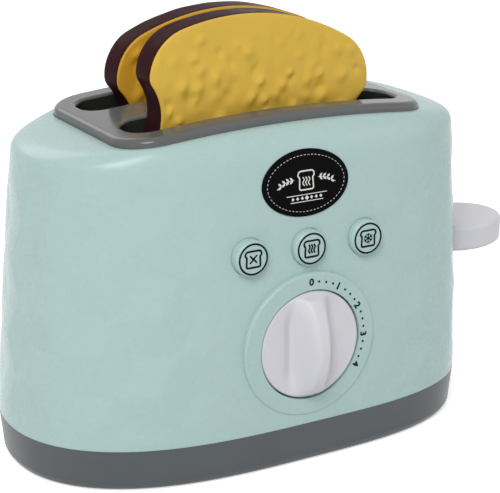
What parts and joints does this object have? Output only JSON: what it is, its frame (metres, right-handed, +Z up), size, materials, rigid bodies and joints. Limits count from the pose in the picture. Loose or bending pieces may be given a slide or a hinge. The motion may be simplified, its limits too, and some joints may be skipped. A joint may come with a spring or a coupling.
{
  "type": "toy toaster",
  "caption": "Play toaster with a rounded tapered body, a top with two bread slots, loose slices, an end lever that lowers them, push buttons and a turning timer dial.",
  "frame": {"origin": "middle of the base tray's flat underside", "axes": "+X towards the lever end, -Y towards the front with the dial, +Z up"},
  "size_m": [0.2164, 0.1158, 0.1619],
  "materials": {
    "mint_plastic": "satin",
    "dark_grey_plastic": "satin",
    "grey_gloss_plastic": "gloss",
    "well_plastic": "matte",
    "black_plastic": "satin",
    "white_plastic": "satin",
    "natural_plastic": "matte",
    "gear_plastic": "matte",
    "steel": "satin",
    "crust_brown": "satin",
    "toast_yellow": "satin"
  },
  "bodies": {
    "housing": {"body_shell": "mint_plastic", "base_tray": "dark_grey_plastic", "top_bezel": "grey_gloss_plastic", "front_badge": "black_plastic", "front_well": "well_plastic", "rear_well": "well_plastic", "rod_bracket": "natural_plastic", "guide_rod_front": "steel", "guide_rod_rear": "steel", "latch_pin": "steel", "lift_spring_front": "steel", "lift_spring_rear": "steel", "timer_case": "natural_plastic", "timer_cover": "natural_plastic", "tick_reed": "steel", "button_spring_left": "steel", "button_spring_middle": "steel", "button_spring_right": "steel", "button_plate": "natural_plastic", "shell_screws": "steel", "well_screws": "steel", "bracket_screws": "steel", "timer_screws": "steel", "button_plate_screws": "steel"},
    "lever": {"carriage": "natural_plastic", "front_lifter": "natural_plastic", "rear_lifter": "natural_plastic", "lever_paddle": "white_plastic", "carriage_screws": "steel"},
    "dial": {"timer_knob": "white_plastic", "knob_shaft": "steel", "main_gear": "gear_plastic", "release_cam": "gear_plastic", "mainspring": "steel"},
    "tick_train": {"pinion": "gear_plastic", "pinion_axle": "steel", "tick_wheel": "gear_plastic"},
    "latch": {"latch_hook": "natural_plastic"},
    "left_button": {"button_left": "mint_plastic"},
    "middle_button": {"button_middle": "mint_plastic"},
    "right_button": {"button_right": "mint_plastic"},
    "front_slice": {"front_slice_crust": "crust_brown", "front_slice_face_front": "toast_yellow", "front_slice_face_rear": "toast_yellow"},
    "rear_slice": {"rear_slice_crust": "crust_brown", "rear_slice_face_front": "toast_yellow", "rear_slice_face_rear": "toast_yellow"}
  },
  "joints": [
    {"name": "lever_slide", "type": "slide", "parent": "housing", "child": "lever", "axis": [0, 0, -1], "range_m": [0, 0.028], "stiffness_N_per_m": 110, "springref_m": -0.03, "deforming": ["lift_spring_front", "lift_spring_rear"]},
    {"name": "dial_turn", "type": "hinge", "parent": "housing", "child": "dial", "pos_m": [0, -0.0528, 0.0466], "axis": [0, 1, 0], "range_deg": [0, 120]},
    {"name": "tick_train_spin", "type": "hinge", "parent": "housing", "child": "tick_train", "pos_m": [0.0168, -0.04, 0.0466], "axis": [0, 1, 0], "range_deg": [-360, 0]},
    {"name": "latch_swing", "type": "hinge", "parent": "housing", "child": "latch", "pos_m": [0.0765, 0.0091, 0.012], "axis": [0, 1, 0], "range_deg": [-8, 0]},
    {"name": "left_button_press", "type": "slide", "parent": "housing", "child": "left_button", "axis": [0, 1, 0], "range_m": [0, 0.002], "stiffness_N_per_m": 300, "springref_m": -0.002, "deforming": ["button_spring_left"]},
    {"name": "middle_button_press", "type": "slide", "parent": "housing", "child": "middle_button", "axis": [0, 1, 0], "range_m": [0, 0.002], "stiffness_N_per_m": 300, "springref_m": -0.002, "deforming": ["button_spring_middle"]},
    {"name": "right_button_press", "type": "slide", "parent": "housing", "child": "right_button", "axis": [0, 1, 0], "range_m": [0, 0.002], "stiffness_N_per_m": 300, "springref_m": -0.002, "deforming": ["button_spring_right"]},
    {"name": "front_slice_lift", "type": "slide", "parent": "lever", "child": "front_slice", "axis": [0, 0, 1], "range_m": [0, 0.09]},
    {"name": "rear_slice_lift", "type": "slide", "parent": "lever", "child": "rear_slice", "axis": [0, 0, 1], "range_m": [0, 0.09]}
  ],
  "couplings": [
    {"joint": "tick_train_spin", "follows": "dial_turn", "ratio": -3}
  ]
}
